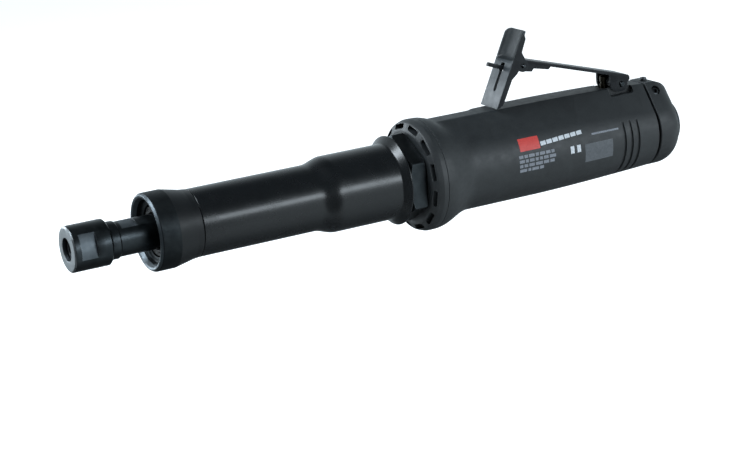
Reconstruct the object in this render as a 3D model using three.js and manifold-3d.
// A lever-throttle pneumatic die grinder with an extended nose, in millimetres.
// The spin axis is X with the collet at -X, the throttle lever is on +Z, and the origin is the
// centre of the air inlet on the rear face. Places along the tool are given as the distance
// behind the front face of the collet nut, which along() turns into X.

import * as THREE from 'three';
import { mergeVertices } from 'three/addons/utils/BufferGeometryUtils.js';
import Module from 'manifold-3d';

const wasm = await Module();
wasm.setup();

// ---- driving dimensions ----

const overallLength = 338;
const gap = 0.3; // clearance between neighbouring pieces

const nutRadius = 11;
const nutLength = 19;
const nutAcrossFlats = 18.4;
const nutOpening = 5.6;
const shankRadius = 3.1;

const spindleRadius = 8.35;
const spindleSeatRadius = 6.7;
const spindleTailRadius = 5.2;
const spindleAcrossFlats = 14.4;

const collarStart = 38.8;
const collarEnd = 61.6;
const collarRadius = 18.8;
const tubeRadius = 16.35;
const stepStart = 123;
const stepEnd = 134.5;
const rearTubeRadius = 18.9;
const shoulderStart = 166.3;
const shoulderEnd = 170;
const shoulderRadius = 22.3;
const spigotRadius = 17.5;
const tubeEnd = 186.3;

const hexAcrossFlats = 39.2;
const hexStart = 170.3;
const hexEnd = 179.1;

const exhaustStart = 179.4;
const exhaustEnd = 186.4;
const slotCount = 12;
const slotCentreRadius = 25.3;
const slotLength = 8.8;
const slotHeight = 2.4;

const flangeRadius = 28.2;
const gripStart = 186.7;
const gripEnd = 318.6;
const flareStart = 187;
const flareEnd = 207.6;
const gripRadius = 22.3;
const taperStart = 250;
const capRadius = 20.1;
const railHalfWidth = 7;
const railHeight = 4;
const railStart = 219;
const capStart = 320;
const capEnd = 335.2;
const capRoundStart = 325.5;
const bossRadius = 12.3;

const motorBore = 17.9;
const motorRadius = 17.5;
const motorStart = 197.9;
const motorEnd = 262;
const cylinderBore = 14;
const cylinderOffset = 1.4;
const rotorRadius = 12.2;
const rotorShaftRadius = 4.7;
const vaneCount = 5;

const spindleBearing = { bore: 7, outer: 13.8, width: 8.8 };
const motorBearing = { bore: 5, outer: 11, width: 7.4 };
const frontBearingStart = 46.6;
const middleBearingStart = 147.6;
const motorFrontBearingStart = 187.4;
const motorRearBearingStart = 265.2;

const valvePlace = 298.5;
const valveBore = 4.2;
const valveFloor = -13;
const stemRadius = 1.8;

const leverPivot = { along: 305.6, z: 26.7 };
const leverTilt = THREE.MathUtils.degToRad(16);
const leverHalfWidth = 6.5;
const leverWall = 1.3;
const leverThickness = 1.6;
const leverUnderside = 3.7; // above the pivot, square to the plate
const leverPinRadius = 1.5;
const lugHalfWidth = 4.9;
const lugRadius = 3.2;

const tabPivot = { along: 245.3, z: 46.3 };
const tabLean = THREE.MathUtils.degToRad(25.5);
const tabHalfWidth = 7.9;
const tabWall = 1.1;
const tabThickness = 1.6;
const tabFront = -6.7; // front face of the tab's plate, from the lock pin
const tabTop = 16.9;
const tabFoot = -23.8;
const lockPinRadius = 1.1;

const coarse = 12; // sides of the small and hidden rounds
const fine = 24; // sides of the large rounds

const along = (place) => place - overallLength;

// ---- solids ----

// Turns a closed geometry into a solid, dropping triangles that shrink to a line on the axis.
function toSolid(geometry) {
  const bare = geometry.index ? geometry.clone() : geometry;
  bare.deleteAttribute('normal');
  bare.deleteAttribute('uv');
  const merged = mergeVertices(bare, 1e-4);
  const corners = merged.index.array;
  const kept = [];
  for (let i = 0; i < corners.length; i += 3) {
    const [a, b, c] = [corners[i], corners[i + 1], corners[i + 2]];
    if (a !== b && b !== c && c !== a) kept.push(a, b, c);
  }
  const build = (triangles) => new wasm.Manifold(new wasm.Mesh({
    numProp: 3,
    vertProperties: new Float32Array(merged.attributes.position.array),
    triVerts: new Uint32Array(triangles),
  }));
  const solid = build(kept);
  return solid.volume() > 0 ? solid : build(kept.reverse());
}

function toGeometry(solid) {
  const mesh = solid.getMesh();
  const geometry = new THREE.BufferGeometry();
  const positions = Float32Array.from(mesh.vertProperties);
  geometry.setAttribute('position', new THREE.BufferAttribute(positions, 3));
  geometry.setIndex(new THREE.BufferAttribute(Uint32Array.from(mesh.triVerts), 1));
  geometry.computeVertexNormals();
  return geometry;
}

const join = (first, ...others) => others.reduce((whole, other) => whole.add(other), first);
const cut = (first, ...others) => others.reduce((whole, other) => whole.subtract(other), first);

// A solid turned about the X axis from [place, radius] points. A profile that does not start
// and end on the axis is closed into a ring.
function turned(profile, segments = fine) {
  const points = profile.map(([place, radius]) => new THREE.Vector2(radius, along(place)));
  const onAxis = profile[0][1] === 0 && profile[profile.length - 1][1] === 0;
  if (!onAxis) points.push(points[0].clone());
  const geometry = new THREE.LatheGeometry(points, segments);
  geometry.rotateZ(-Math.PI / 2);
  return toSolid(geometry);
}

// A plain ring or, with no inner radius, a plain disc about the X axis.
function ring(start, end, outer, inner = 0, segments = coarse) {
  return turned([[start, inner], [start, outer], [end, outer], [end, inner]], segments);
}

// A round bar between two points.
function bar(radius, from, to, segments = coarse) {
  const start = new THREE.Vector3(...from);
  const end = new THREE.Vector3(...to);
  const direction = end.clone().sub(start);
  const geometry = new THREE.CylinderGeometry(radius, radius, direction.length(), segments);
  const up = new THREE.Vector3(0, 1, 0);
  const turn = new THREE.Quaternion().setFromUnitVectors(up, direction.normalize());
  geometry.applyQuaternion(turn);
  geometry.translate(...start.add(end).multiplyScalar(0.5).toArray());
  return toSolid(geometry);
}

// A block given by its two opposite corners.
function block(low, high) {
  const size = high.map((value, axis) => value - low[axis]);
  const geometry = new THREE.BoxGeometry(...size);
  geometry.translate(...low.map((value, axis) => value + size[axis] / 2));
  return toSolid(geometry);
}

// A side outline of [x, z] points given a thickness between two values of y.
function slab(outline, yLow, yHigh) {
  const shape = new THREE.Shape(outline.map(([x, z]) => new THREE.Vector2(x, z)));
  const geometry = new THREE.ExtrudeGeometry(shape, { depth: yHigh - yLow, bevelEnabled: false });
  geometry.rotateX(Math.PI / 2);
  geometry.translate(0, yHigh, 0);
  return toSolid(geometry);
}

// The same outline on both sides of the middle plane.
const pair = (outline, inner, outer) => [slab(outline, inner, outer), slab(outline, -outer, -inner)];

// Points on an arc in the side plane, with angles in degrees from +X towards +Z.
function arc(x, z, radius, from, to, steps) {
  const points = [];
  for (let i = 0; i <= steps; i += 1) {
    const angle = THREE.MathUtils.degToRad(from + (to - from) * i / steps);
    points.push([x + radius * Math.cos(angle), z + radius * Math.sin(angle)]);
  }
  return points;
}

// A wire of round section along a smooth curve through the points.
function wire(points, radius, steps, sides = 6) {
  const curve = new THREE.CatmullRomCurve3(points.map((point) => new THREE.Vector3(...point)));
  const section = new THREE.Shape();
  for (let i = 0; i < sides; i += 1) {
    const angle = 2 * Math.PI * i / sides;
    const [x, y] = [radius * Math.cos(angle), radius * Math.sin(angle)];
    if (i === 0) section.moveTo(x, y);
    else section.lineTo(x, y);
  }
  return toSolid(new THREE.ExtrudeGeometry(section, { steps, extrudePath: curve }));
}

// A skin through rings of points, closed at both ends.
function skin(rings) {
  const count = rings[0].length;
  const positions = rings.flat().flatMap((point) => point);
  const triangles = [];
  for (let i = 0; i + 1 < rings.length; i += 1) {
    for (let j = 0; j < count; j += 1) {
      const next = (j + 1) % count;
      const [a, b] = [i * count + j, i * count + next];
      triangles.push(a, a + count, b, b, a + count, b + count);
    }
  }
  const last = (rings.length - 1) * count;
  for (let j = 1; j + 1 < count; j += 1) {
    triangles.push(0, j, j + 1, last, last + j + 1, last + j);
  }
  const geometry = new THREE.BufferGeometry();
  geometry.setAttribute('position', new THREE.Float32BufferAttribute(positions, 3));
  geometry.setIndex(triangles);
  return toSolid(geometry);
}

// ---- the grip's outer form ----

const smooth = (t) => (1 - Math.cos(Math.PI * THREE.MathUtils.clamp(t, 0, 1))) / 2;

// Radius of the round part of the grip.
function bodyRadius(place) {
  if (place < flareEnd) {
    const fall = smooth((place - flareStart) / (flareEnd - flareStart));
    return flangeRadius + (gripRadius - flangeRadius) * fall;
  }
  const run = Math.max(0, place - taperStart) / (capStart - taperStart);
  return gripRadius + (capRadius - gripRadius) * Math.min(1, run) ** 1.5;
}

// The rail tapers less than the round part does, and so stands higher towards the rear.
function railRise(place) {
  return 0.6 * THREE.MathUtils.clamp((place - taperStart) / (capStart - taperStart), 0, 1);
}

// Height of the flat rail above the axis.
function railTop(place) {
  const lift = railHeight - 0.25 * (1 - smooth((place - railStart) / 3)) + railRise(place);
  const base = place < flareEnd ? gripRadius : bodyRadius(place);
  return base + lift;
}

// Distance from the axis to the skin at an angle from +Z: a round with a flat rail on top whose
// flanks run down tangent to the round.
function skinRadius(angle, radius, top) {
  const edge = Math.atan2(railHalfWidth, top);
  const reach = Math.hypot(railHalfWidth, top);
  const side = Math.abs(Math.atan2(Math.sin(angle), Math.cos(angle)));
  if (radius >= reach) return radius;
  const tangent = edge + Math.acos(radius / reach);
  if (side <= edge) return Math.max(radius, top / Math.cos(side));
  if (side < tangent) return radius / Math.cos(tangent - side);
  return radius;
}

// A ring of points of the skin, close together near the rail and wider apart below.
function skinRing(place, radius, top) {
  const railAngles = [0, 7, 15, 21, 28, 36, 46, 57, 68, 79, 90];
  const lowerAngles = [101, 113, 124, 135, 146, 158, 169];
  const half = [...railAngles, ...lowerAngles];
  const angles = [...half, 180, ...half.slice(1).reverse().map((angle) => -angle)];
  return angles.map((degrees) => {
    const angle = THREE.MathUtils.degToRad(degrees);
    const reach = skinRadius(angle, radius, top);
    return [along(place), -reach * Math.sin(angle), reach * Math.cos(angle)];
  });
}

// ---- materials ----

const finishes = {
  blackSteel: { color: 0x26282a, roughness: 0.35, metalness: 0.8 },
  glossBlack: { color: 0x101214, roughness: 0.22, metalness: 0.6 },
  greySteel: { color: 0x5c5f61, roughness: 0.35, metalness: 0.9 },
  brightSteel: { color: 0xb4b6b8, roughness: 0.25, metalness: 1 },
  charcoal: { color: 0x34393b, roughness: 0.6, metalness: 0.15 },
  castIron: { color: 0x54565a, roughness: 0.6, metalness: 0.7 },
  brass: { color: 0xb08d4a, roughness: 0.35, metalness: 0.95 },
  rubber: { color: 0x141414, roughness: 0.85, metalness: 0 },
  felt: { color: 0x8a8478, roughness: 0.98, metalness: 0 },
  vane: { color: 0x6b4a2c, roughness: 0.75, metalness: 0 },
};

const object = new THREE.Group();

// Adds a solid to the object as a named part.
function addPart(name, solid, finish, parent = object) {
  const material = new THREE.MeshStandardMaterial(finishes[finish]);
  const mesh = new THREE.Mesh(toGeometry(solid), material);
  mesh.name = name;
  parent.add(mesh);
}

// ---- collet and spindle ----

function colletNut() {
  const threadRadius = 8.9;
  const body = turned([
    [0, nutOpening], [0, nutRadius - 0.7], [0.7, nutRadius - 0.05], [nutLength - 0.8, nutRadius],
    [nutLength, nutRadius - 0.7], [nutLength, threadRadius], [8, threadRadius], [8, 8.3],
    [3, 6.2], [1.8, nutOpening],
  ]);
  const flat = nutAcrossFlats / 2;
  const flats = [1, -1].map((side) => {
    const edge = [side * flat, side * (nutRadius + 2)].sort((a, b) => a - b);
    const cutter = block([along(3.4), edge[0], -nutRadius], [along(11.2), edge[1], nutRadius]);
    return cutter.rotate([-14, 0, 0]);
  });
  return cut(body, ...flats);
}

function collet() {
  const body = turned([
    [1.9, shankRadius], [1.9, 5.2], [7.3, 7.5], [9, 6.9], [21, 5.2], [21, shankRadius],
  ], coarse);
  const slitEnd = 16;
  const slits = [0, 1, 2].map((i) => {
    const blade = block([along(1), 0, -0.4], [along(slitEnd), 9, 0.4]);
    return blade.rotate([120 * i + 30, 0, 0]);
  });
  return cut(body, ...slits);
}

function spindle() {
  const body = turned([
    [8.8, 0], [8.8, 8.5], [19.3, 8.5], [19.4, 9], [23.4, 9], [24, spindleRadius],
    [frontBearingStart - gap, spindleRadius], [frontBearingStart - gap, spindleSeatRadius],
    [161.5, spindleSeatRadius], [161.5, spindleTailRadius], [172.5, spindleTailRadius], [172.5, 0],
  ]);
  const socket = turned([[8, 0], [8, 7.5], [22, 5.6], [22, 3.5], [36, 3.5], [36, 0]], coarse);
  const flat = spindleAcrossFlats / 2;
  const flats = [1, -1].map((side) => {
    const edge = [side * flat, side * (spindleRadius + 2)].sort((a, b) => a - b);
    return block([along(25.5), -10, edge[0]], [along(33), 10, edge[1]]).rotate([12, 0, 0]);
  });
  return cut(body, socket, ...flats);
}

// ---- bearings ----

function outerRace(start, { outer, width }) {
  const thickness = outer > 12 ? 2.1 : 1.7;
  return ring(start, start + width, outer, outer - thickness);
}

function innerRace(start, { bore, width }) {
  return ring(start, start + width, bore + 1.8, bore);
}

// The cage and its balls, as the one ring that travels round between the races.
function ballCage(start, { bore, outer, width }) {
  const ballCount = 6;
  const inside = bore + 1.8 + gap;
  const outside = (outer - (outer > 12 ? 2.1 : 1.7)) * Math.cos(Math.PI / coarse) - gap;
  const middle = start + width / 2;
  const ballRadius = (outside - inside) / 2;
  const pitch = (inside + outside) / 2;
  const cage = ring(middle - 1.2, middle + 1.2, pitch + 0.4, pitch - 0.4);
  const balls = [];
  for (let i = 0; i < ballCount; i += 1) {
    const angle = 2 * Math.PI * i / ballCount;
    const ball = new THREE.SphereGeometry(ballRadius, 6, 4);
    ball.translate(along(middle), pitch * Math.sin(angle), pitch * Math.cos(angle));
    balls.push(toSolid(ball));
  }
  return join(cage, ...balls);
}

function placeBearing(name, start, size) {
  addPart(`${name}_outer_race`, outerRace(start, size), 'brightSteel');
  addPart(`${name}_inner_race`, innerRace(start, size), 'brightSteel');
  addPart(`${name}_ball_cage`, ballCage(start, size), 'brightSteel');
}

// ---- nose and extension ----

function noseCollar() {
  return turned([
    [collarStart, 17.5], [collarStart + 0.3, 18.2], [collarStart + 1.3, collarRadius],
    [49, collarRadius], [51.5, 18.5], [55, 17.5], [58.5, 16.7], [collarEnd, 16.4],
    [collarEnd, 14.6], [56.3, 14.6], [56.3, 14.1], [46.2, 14.1], [46.2, 12.5], [43, 12.5],
    [43, 15], [40.8, 15.4], [collarStart + 0.6, 16.4], [collarStart, 17],
  ]);
}

function extensionTube() {
  const boreRadius = 12.6;
  const pocketRadius = 14.1;
  const mouth = collarEnd + gap;
  const outline = [[56.6, boreRadius], [56.6, 14.2], [mouth, 14.2], [mouth, tubeRadius]];
  for (let i = 0; i <= 6; i += 1) {
    const place = stepStart + (stepEnd - stepStart) * i / 6;
    outline.push([place, tubeRadius + (rearTubeRadius - tubeRadius) * smooth(i / 6)]);
  }
  outline.push([shoulderStart, rearTubeRadius], [shoulderStart + 0.6, rearTubeRadius + 0.35]);
  outline.push([shoulderEnd - 1, shoulderRadius - 0.4], [shoulderEnd - 0.3, shoulderRadius]);
  outline.push([shoulderEnd, shoulderRadius - 0.2], [shoulderEnd, spigotRadius], [tubeEnd, spigotRadius]);
  outline.push([tubeEnd, pocketRadius], [147.2, pocketRadius], [147.2, boreRadius]);
  return turned(outline);
}

function clampNut() {
  const corner = hexAcrossFlats / Math.sqrt(3);
  const hex = new THREE.CylinderGeometry(corner, corner, hexEnd - hexStart, 6);
  hex.rotateZ(-Math.PI / 2);
  hex.translate(along((hexStart + hexEnd) / 2), 0, 0);
  const envelope = turned([
    [hexStart, 0], [hexStart, corner - 2.2], [hexStart + 1.6, corner - 0.1], [hexEnd, corner - 0.1],
    [hexEnd, 0],
  ]);
  const bore = ring(hexStart - 1, hexEnd + 1, motorBore, 0, fine);
  return cut(toSolid(hex).intersect(envelope), bore);
}

function exhaustRing() {
  const body = turned([
    [exhaustStart, motorBore], [exhaustStart, 24], [180, 25.7], [181.2, 27.2], [182.8, 28],
    [184.2, flangeRadius], [exhaustEnd, flangeRadius], [exhaustEnd, 26.3], [183.4, 26.3], [183.4, 20.6],
    [exhaustEnd, 20.6], [exhaustEnd, motorBore],
  ], 2 * slotCount);
  const slots = [];
  for (let i = 0; i < slotCount; i += 1) {
    const low = [along(178), -slotLength / 2, slotCentreRadius - slotHeight / 2];
    const high = [along(183.8), slotLength / 2, slotCentreRadius + slotHeight / 2];
    slots.push(block(low, high).rotate([(i + 0.5) * 360 / slotCount, 0, 0]));
  }
  return cut(body, ...slots);
}

// ---- grip ----

function gripHousing() {
  const places = [gripStart, 190, 193.5, 197, 200.5, 204, flareEnd, railStart, railStart + 3, taperStart];
  for (let i = 1; i <= 4; i += 1) places.push(taperStart + (gripEnd - taperStart) * i / 4);
  const shell = skin(places.map((value) => skinRing(value, bodyRadius(value), railTop(value))));

  const { along: pivot, z: pivotHeight } = leverPivot;
  const lugTop = arc(along(pivot), pivotHeight, lugRadius, 0, 180, 8);
  const lugFoot = [[along(pivot) - lugRadius, 20], [along(pivot) + lugRadius, 20]];
  const lug = slab([...lugFoot, ...lugTop], -lugHalfWidth, lugHalfWidth);
  const whole = join(shell, lug);

  const motorSpace = ring(gripStart - 1, 275.5, motorBore, 0, fine);
  const exhaustSpace = ring(gripStart - 1, 195, 25.6, 19.6, fine);
  const pinHoleRadius = leverPinRadius + gap;
  const pinHole = bar(pinHoleRadius, [along(pivot), -12, pivotHeight], [along(pivot), 12, pivotHeight]);
  const earPockets = pair(
    [[along(296.6), 21.6], [along(311.5), 21.6], [along(311.5), 35], [along(296.6), 35]],
    lugHalfWidth + 0.01, 14,
  );
  const valveSpace = bar(valveBore, [along(valvePlace), 0, valveFloor], [along(valvePlace), 0, 40]);
  const supply = bar(valveBore - 0.2, [along(valvePlace), 0, 0], [along(gripEnd), 0, 0]);
  const feed = bar(3, [along(270), 0, 14.2], [along(valvePlace), 0, 14.2], 16);
  const inletSpace = ring(311, gripEnd + 1, 10.9, 0, fine);
  const grooves = [296.3, 300.7, 305.1].map((value) => {
    const depth = bodyRadius(value) - 0.9;
    const groove = ring(value - 0.9, value + 0.9, 30, depth, fine);
    return cut(groove, block([along(value) - 3, -31, 14.6], [along(value) + 3, 31, 31]));
  });
  const spaces = [motorSpace, exhaustSpace, pinHole, valveSpace, supply, feed, inletSpace];
  return cut(whole, ...spaces, ...earPockets, ...grooves);
}

// The cap carries the grip's section on and rounds it over to the rear face.
function endCap() {
  const faceScale = 0.62;
  const rings = [skinRing(capStart, bodyRadius(capStart), railTop(capStart))];
  const steps = 7;
  for (let i = 0; i <= steps; i += 1) {
    const turn = Math.PI / 2 * i / steps;
    const place = capRoundStart + (capEnd - capRoundStart) * Math.sin(turn);
    const scale = faceScale + (1 - faceScale) * Math.cos(turn);
    const top = (railTop(capStart) - 0.4) * scale;
    rings.push(skinRing(place, bodyRadius(capStart) * scale, top));
  }
  const inletSpace = ring(capStart - 1, capEnd + 1, 10.9, 0, fine);
  const screwHoles = [1, -1].map((side) => capScrewBar(side, 2.6, -4.4, 5));
  const topHole = bar(1.3, [along(323.8), 0, 18], [along(323.8), 0, 30], 12);
  return cut(skin(rings), inletSpace, ...screwHoles, topHole);
}

// A bar along the axis of a cap screw, which stands square to a flank of the rail. The two
// ends are given as distances out from the flank's surface.
function capScrewBar(side, radius, low, high) {
  const top = railTop(capStart);
  const corner = Math.atan2(railHalfWidth, top);
  const flank = corner + Math.acos(capRadius / Math.hypot(railHalfWidth, top));
  const place = THREE.MathUtils.degToRad(25);
  const reach = skinRadius(place, capRadius, top);
  const point = (out) => [
    along(325),
    -side * (reach * Math.sin(place) + out * Math.sin(flank)),
    reach * Math.cos(place) + out * Math.cos(flank),
  ];
  return bar(radius, point(low), point(high));
}

function capScrew(side) {
  return cut(capScrewBar(side, 2.2, -4, -1.2), capScrewBar(side, 1.1, -2.4, 2));
}

function capTopScrew() {
  const x = along(323.8);
  const top = railTop(capStart);
  const head = bar(1.9, [x, 0, top + gap], [x, 0, top + 1.7], 16);
  const shank = bar(1, [x, 0, 18.6], [x, 0, top + 1], 12);
  return cut(join(head, shank), block([x - 3, -0.3, top + 1.2], [x + 3, 0.3, top + 2]));
}

function inletBushing() {
  return turned([
    [311.4, 5.6], [311.4, 10.6], [capEnd + 0.3, 10.6], [capEnd + 0.3, bossRadius - 0.3],
    [capEnd + 0.6, bossRadius], [overallLength - 0.5, bossRadius], [overallLength, bossRadius - 0.5],
    [overallLength, 8.4], [overallLength - 0.9, 7.6], [322, 7.6], [322, 5.6],
  ]);
}

function inletScreen() {
  const dome = [[322.4, 0], [322.4, 7.2], [323.2, 7.2], [323.2, 5.8], [326, 1.5], [326, 0]];
  const disc = turned(dome, coarse);
  const hollow = turned([[322, 0], [322, 5.6], [322.6, 5.6], [325.4, 1.2], [325.4, 0]], coarse);
  return cut(disc, hollow);
}

// ---- air motor ----

function motorCylinder() {
  const body = ring(motorStart, motorEnd, motorRadius, 0, fine);
  const x = [along(motorStart - 1), along(motorEnd + 1)];
  const bore = bar(cylinderBore, [x[0], 0, cylinderOffset], [x[1], 0, cylinderOffset], fine);
  const ports = [210, 222, 234, 246].map((value) => (
    block([along(value), -5, -20], [along(value + 6), 5, -10])
  ));
  return cut(body, bore, ...ports);
}

function rotor() {
  const body = turned([
    [174, 0], [174, rotorShaftRadius], [motorStart + 0.4, rotorShaftRadius],
    [motorStart + 0.4, rotorRadius], [motorEnd - 0.4, rotorRadius], [motorEnd - 0.4, rotorShaftRadius],
    [273.2, rotorShaftRadius], [273.2, 0],
  ]);
  const slots = vaneAngles().map((angle) => (
    block([along(motorStart), -1.1, 6], [along(motorEnd), 1.1, 14]).rotate([angle, 0, 0])
  ));
  return cut(body, ...slots);
}

function vaneAngles() {
  return Array.from({ length: vaneCount }, (unused, i) => 360 * i / vaneCount);
}

function vane(angle) {
  const low = [along(motorStart + 0.7), -0.8, 6.3];
  const high = [along(motorEnd - 0.7), 0.8, rotorRadius - 0.2];
  return block(low, high).rotate([angle, 0, 0]);
}

function endPlate(start, end, pocketStart, pocketEnd) {
  const body = ring(start, end, motorRadius, 6, fine);
  return cut(body, ring(pocketStart, pocketEnd, motorBearing.outer + gap));
}

function frontEndPlate() {
  const end = motorFrontBearingStart + motorBearing.width + gap;
  return endPlate(187, motorStart - gap, 186, end);
}

function rearEndPlate() {
  const plate = endPlate(motorEnd + gap, 273.2, motorRearBearingStart - gap, 274);
  return cut(plate, bar(2.4, [along(261), 0, 14.2], [along(275), 0, 14.2], 12));
}

function driveCoupling() {
  return turned([
    [162, spindleTailRadius + gap], [162, 8.6], [182, 8.6], [182, rotorShaftRadius + gap],
    [173.3, rotorShaftRadius + gap], [173.3, spindleTailRadius + gap],
  ], coarse);
}

// ---- throttle valve ----

// A ring or disc about the valve's upright axis.
function upright(low, high, outer, inner = 0) {
  const x = along(valvePlace);
  const body = bar(outer, [x, 0, low], [x, 0, high]);
  return inner ? cut(body, bar(inner, [x, 0, low - 1], [x, 0, high + 1], 16)) : body;
}

function throttleStem() {
  return join(upright(7, 14, 1.2), upright(13.9, 31.7, stemRadius));
}

function valveSpring() {
  const turns = 5;
  const [low, high, radius] = [valveFloor + 0.8, 2.2, 2.9];
  const points = [];
  for (let i = 0; i <= turns * 8; i += 1) {
    const angle = 2 * Math.PI * i / 8;
    const height = low + (high - low) * i / (turns * 8);
    points.push([along(valvePlace) + radius * Math.cos(angle), radius * Math.sin(angle), height]);
  }
  return wire(points, 0.45, turns * 8, 4);
}

// ---- lever and lock-off tab, each built about its own pivot ----

const plateTop = leverUnderside + leverThickness;
const lockPin = (() => {
  const x = tabPivot.along - leverPivot.along;
  const z = tabPivot.z - leverPivot.z;
  return {
    x: x * Math.cos(leverTilt) - z * Math.sin(leverTilt),
    z: x * Math.sin(leverTilt) + z * Math.cos(leverTilt),
  };
})();

function lever() {
  const front = lockPin.x - 1.2;
  const rear = 3.6;
  const wall = leverHalfWidth - leverWall;
  const plate = slab([
    [front, leverUnderside], [rear - 1.2, leverUnderside], [rear, leverUnderside - 1.4],
    [rear + 0.8, leverUnderside - 0.7], [rear + 0.3, plateTop - 0.7], [rear - 1, plateTop], [front, plateTop],
  ], -leverHalfWidth, leverHalfWidth);
  const cheeks = pair([
    ...arc(lockPin.x, lockPin.z, 2.9, 160, 270, 6), [lockPin.x + 5.4, lockPin.z - 2.3],
    [lockPin.x + 6.4, leverUnderside - 2.1], [lockPin.x + 16.5, leverUnderside - 1.5],
    [lockPin.x + 17.5, leverUnderside + 0.2], [lockPin.x + 17.5, plateTop - 0.2], [front, plateTop - 0.2],
  ], wall, leverHalfWidth);
  const ears = pair([
    [-8.6, plateTop - 0.2], [-7.2, -0.4], [-6.3, -2.6], [-4.6, -3.8], [-1.4, -4],
    ...arc(0, 0, 3.7, -70, 20, 5), [rear, leverUnderside - 0.5], [rear - 0.6, plateTop - 0.5],
  ], wall, leverHalfWidth);
  const tongueReach = lockPin.x - 15;
  const tongue = slab([
    [tongueReach, -0.5], [tongueReach + 3, -0.4], [lockPin.x + 1, leverUnderside + 0.1],
    [lockPin.x + 6, leverUnderside], [lockPin.x + 6, plateTop - 0.1], [front, plateTop - 0.1],
    [tongueReach + 0.4, 1.2],
  ], -1, 1);
  const springNotch = block([front - 1, 1.5, leverUnderside - 1], [lockPin.x + 2.9, wall, plateTop + 1]);
  const pinHole = bar(leverPinRadius + gap, [0, -10, 0], [0, 10, 0]);
  const lockHole = bar(lockPinRadius + gap, [lockPin.x, -10, lockPin.z], [lockPin.x, 10, lockPin.z], 16);
  return cut(join(cut(plate, springNotch), ...cheeks, ...ears, tongue), pinHole, lockHole);
}

function lockTab() {
  const back = tabFront + tabThickness;
  const dishStart = 6;
  const slant = tabThickness * Math.tan(tabLean);
  const leg = slab([
    [tabFront, tabFoot - slant], [back, tabFoot], [back, dishStart], [tabFront, dishStart],
  ], -tabHalfWidth, tabHalfWidth);
  const inner = tabHalfWidth - tabWall;
  const flanges = pair([
    [back - 0.5, tabFoot + 0.8], [back + 0.9, tabFoot + 1.4], [back + 1.2, tabFoot + 4], [back + 1.2, -7],
    ...arc(0, 0, 3.4, 240, 440, 10), [back + 1, 5.5], [back - 0.5, 7.5],
  ], inner, tabHalfWidth);
  const slitHalfWidth = 1.3;
  const window = block([tabFront - 1, -2.4, -2.6], [back + 1, 2.4, 3.2]);
  const slit = block([tabFront - 1, -slitHalfWidth, -16.4], [back + 1, slitHalfWidth, 0]);
  const pinHole = bar(lockPinRadius + gap, [0, -12, 0], [0, 12, 0], 16);
  return cut(join(leg, thumbPlate(dishStart - 0.2), ...flanges), window, slit, pinHole);
}

// The upper plate is dished across its width for the finger, with rounded top corners.
function thumbPlate(start) {
  const dish = 2;
  const steps = 10;
  const shape = new THREE.Shape();
  const depth = (y) => tabFront + dish * Math.cos(Math.PI / 2 * y / tabHalfWidth);
  for (let i = 0; i <= steps; i += 1) {
    const y = tabHalfWidth * (2 * i / steps - 1);
    if (i === 0) shape.moveTo(depth(y), y);
    else shape.lineTo(depth(y), y);
  }
  for (let i = steps; i >= 0; i -= 1) {
    const y = tabHalfWidth * (2 * i / steps - 1);
    shape.lineTo(depth(y) + tabThickness, y);
  }
  const geometry = new THREE.ExtrudeGeometry(shape, { depth: tabTop - start, bevelEnabled: false });
  geometry.translate(0, 0, start);
  const corners = [1, -1].map((side) => {
    const edge = [side * tabHalfWidth, side * (tabHalfWidth - 3)].sort((a, b) => a - b);
    const square = block([-8, edge[0], tabTop - 3], [2, edge[1], tabTop + 1]);
    const y = side * (tabHalfWidth - 3);
    return cut(square, bar(3, [-9, y, tabTop - 3], [3, y, tabTop - 3]));
  });
  return cut(toSolid(geometry), ...corners);
}

// A torsion spring on the lock pin, with one end under the lever and one behind the tab.
function lockSpring() {
  const [turns, radius, start, pitch] = [4, 1.95, 1.9, 0.67];
  const points = [[9, start - 0.1, 0.6], [4, start - 0.1, 0.2]];
  for (let i = 0; i <= turns * 8; i += 1) {
    const angle = -Math.PI / 3 - 2 * Math.PI * i / 8;
    points.push([radius * Math.sin(-angle), start + pitch * i / 8, -radius * Math.cos(angle)]);
  }
  points.push([-2.9, start + pitch * turns + 0.1, -4.6], [-3, start + pitch * turns + 0.1, -9]);
  return wire(points, 0.29, turns * 10 + 12, 4);
}

// ---- assembly ----

addPart('collet_nut', colletNut(), 'greySteel');
addPart('collet', collet(), 'brightSteel');
addPart('spindle', spindle(), 'blackSteel');
addPart('bearing_spacer', ring(55.7, 147.3, 8.4, 7), 'greySteel');
addPart('spindle_bearing_nut', ring(156.7, 160.8, 9.6, 7), 'blackSteel');
placeBearing('front_bearing', frontBearingStart, spindleBearing);
placeBearing('middle_bearing', middleBearingStart, spindleBearing);
addPart('dust_seal', ring(43.4, 45.9, 12.2, 8.9), 'rubber');
addPart('nose_collar', noseCollar(), 'blackSteel');
addPart('extension_tube', extensionTube(), 'glossBlack');
addPart('clamp_nut', clampNut(), 'blackSteel');
addPart('exhaust_ring', exhaustRing(), 'charcoal');
addPart('muffler_felt', ring(187.2, 194.6, 25.3, 19.9, fine), 'felt');
addPart('grip_housing', gripHousing(), 'charcoal');

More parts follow.
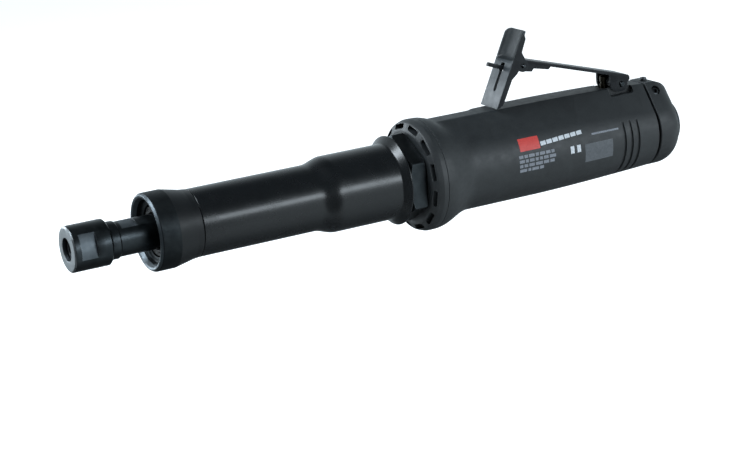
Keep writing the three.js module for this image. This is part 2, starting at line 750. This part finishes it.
addPart('drive_coupling', driveCoupling(), 'greySteel');
addPart('front_end_plate', frontEndPlate(), 'castIron');
addPart('rear_end_plate', rearEndPlate(), 'castIron');
placeBearing('motor_front_bearing', motorFrontBearingStart, motorBearing);
placeBearing('motor_rear_bearing', motorRearBearingStart, motorBearing);
addPart('motor_cylinder', motorCylinder(), 'castIron');
addPart('rotor', rotor(), 'greySteel');
vaneAngles().forEach((angle, i) => addPart(`vane_${i + 1}`, vane(angle), 'vane'));

addPart('cap_gasket', ring(318.9, 319.7, 18.6, 11.3, fine), 'rubber');
addPart('end_cap', endCap(), 'charcoal');
addPart('cap_screw_left', capScrew(-1), 'blackSteel');
addPart('cap_screw_right', capScrew(1), 'blackSteel');
addPart('cap_top_screw', capTopScrew(), 'brightSteel');
addPart('inlet_bushing', inletBushing(), 'blackSteel');
addPart('inlet_screen', inletScreen(), 'brass');

addPart('throttle_stem', throttleStem(), 'brass');
addPart('stem_bushing', upright(17.6, 25.4, 3.9, stemRadius + gap), 'brass');
addPart('stem_seal', upright(15.6, 17.3, 3.9, stemRadius + gap), 'rubber');
addPart('valve_seat', upright(7.2, 10, 3.9, 2.4), 'brass');
addPart('valve_poppet', upright(3, 6.7, 3.6), 'rubber');
addPart('valve_spring', valveSpring(), 'brightSteel');

const leverGroup = new THREE.Group();
leverGroup.position.set(along(leverPivot.along), 0, leverPivot.z);
leverGroup.rotation.y = leverTilt;
addPart('lever', lever(), 'glossBlack', leverGroup);
const leverPin = bar(leverPinRadius, [0, -7.4, 0], [0, 7.4, 0]);
addPart('lever_pin', leverPin, 'brightSteel', leverGroup);

const tabGroup = new THREE.Group();
tabGroup.position.set(along(tabPivot.along), 0, tabPivot.z);
tabGroup.rotation.y = tabLean;
addPart('lock_tab', lockTab(), 'blackSteel', tabGroup);
addPart('lock_pin', bar(lockPinRadius, [0, -9.3, 0], [0, 9.3, 0], 16), 'brightSteel', tabGroup);
addPart('lock_spring', lockSpring(), 'brightSteel', tabGroup);

object.add(leverGroup, tabGroup);

export default object;
